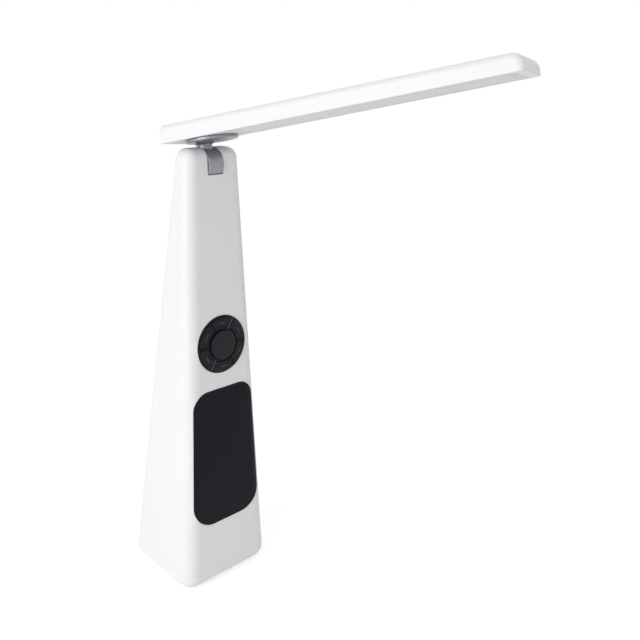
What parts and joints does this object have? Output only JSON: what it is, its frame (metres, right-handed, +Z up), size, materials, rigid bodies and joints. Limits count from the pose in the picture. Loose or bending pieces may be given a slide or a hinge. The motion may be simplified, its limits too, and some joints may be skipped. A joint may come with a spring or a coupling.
{
  "type": "desk lamp",
  "caption": "Cordless folding desk lamp: tapered white tower with a ring of dark keys over a dark display window, and a slim LED bar on a friction hinge with a swivel.",
  "frame": {"origin": "middle of the rubber sole's underside, on the table", "axes": "+Z up, -Y to the front with the keys and the window, +X to the right seen from the front"},
  "size_m": [0.0979, 0.1933, 0.3214],
  "materials": {
    "white_shell": "smooth satin white",
    "pale_base": "fine matt white",
    "sole": "soft matt",
    "steel": "plated",
    "screw_steel": "plated",
    "cell_can": "shrink film over a metal can",
    "black_inner": "moulded black",
    "dark_window": "polished black",
    "circuit_board": "lacquered board",
    "dark_ring": "satin black",
    "dark_key": "satin black",
    "inlet_steel": "plated",
    "washer_plastic": "slippery washer plastic",
    "grey_hinge": "satin grey",
    "milky_diffuser": "milky",
    "bare_aluminium": "bare",
    "white_board": "white lacquer",
    "led_body": "clear over yellow"
  },
  "bodies": {
    "tower": {"tower_shell": "white_shell", "base_tray": "white_shell", "base_pad": "sole", "ballast_plate": "steel", "base_screws": "screw_steel", "battery_cell": "cell_can", "battery_cradle": "black_inner", "cradle_screws": "screw_steel", "display_window": "dark_window", "display_block": "black_inner", "display_board": "circuit_board", "pad_frame": "dark_ring", "control_board": "circuit_board", "tact_switches": "black_inner", "control_screws": "screw_steel", "main_board": "circuit_board", "board_parts": "black_inner", "board_screws": "screw_steel", "usb_socket": "inlet_steel", "usb_tongue": "black_inner", "hinge_pin": "screw_steel", "hinge_nut": "screw_steel", "friction_washers": "washer_plastic", "spring_washers": "screw_steel"},
    "neck": {"hinge_knuckle": "grey_hinge", "swivel_post": "screw_steel", "swivel_washer": "washer_plastic", "swivel_clip": "screw_steel"},
    "head": {"head_cover": "white_shell", "head_base": "pale_base", "diffuser": "milky_diffuser", "heat_spreader": "bare_aluminium", "led_strip": "white_board", "leds": "led_body", "head_screws": "screw_steel"},
    "key_1": {"key_1": "dark_key"},
    "key_2": {"key_2": "dark_key"},
    "key_3": {"key_3": "dark_key"},
    "key_4": {"key_4": "dark_key"},
    "key_5": {"key_5": "dark_key"},
    "key_6": {"key_6": "dark_key"},
    "power_button": {"power_button": "dark_key"}
  },
  "joints": [
    {"name": "head_tilt", "type": "hinge", "parent": "tower", "child": "neck", "pos_m": [0, -0.0006, 0.2532], "axis": [1, 0, 0], "range_deg": [-30, 101]},
    {"name": "head_swivel", "type": "hinge", "parent": "neck", "child": "head", "pos_m": [0, -0.00789, 0.25536], "axis": [0, 0.284, 0.9588], "range_deg": [-107.5, 72.5]},
    {"name": "key_1_press", "type": "slide", "parent": "tower", "child": "key_1", "axis": [0, 0.996, -0.0893], "range_m": [0, 0.0005], "stiffness_N_per_m": 400, "springref_m": -0.0005},
    {"name": "key_2_press", "type": "slide", "parent": "tower", "child": "key_2", "axis": [0, 0.996, -0.0893], "range_m": [0, 0.0005], "stiffness_N_per_m": 400, "springref_m": -0.0005},
    {"name": "key_3_press", "type": "slide", "parent": "tower", "child": "key_3", "axis": [0, 0.996, -0.0893], "range_m": [0, 0.0005], "stiffness_N_per_m": 400, "springref_m": -0.0005},
    {"name": "key_4_press", "type": "slide", "parent": "tower", "child": "key_4", "axis": [0, 0.996, -0.0893], "range_m": [0, 0.0005], "stiffness_N_per_m": 400, "springref_m": -0.0005},
    {"name": "key_5_press", "type": "slide", "parent": "tower", "child": "key_5", "axis": [0, 0.996, -0.0893], "range_m": [0, 0.0005], "stiffness_N_per_m": 400, "springref_m": -0.0005},
    {"name": "key_6_press", "type": "slide", "parent": "tower", "child": "key_6", "axis": [0, 0.996, -0.0893], "range_m": [0, 0.0005], "stiffness_N_per_m": 400, "springref_m": -0.0005},
    {"name": "power_button_press", "type": "slide", "parent": "tower", "child": "power_button", "axis": [0, 0.996, -0.0893], "range_m": [0, 0.0005], "stiffness_N_per_m": 400, "springref_m": -0.0005}
  ]
}
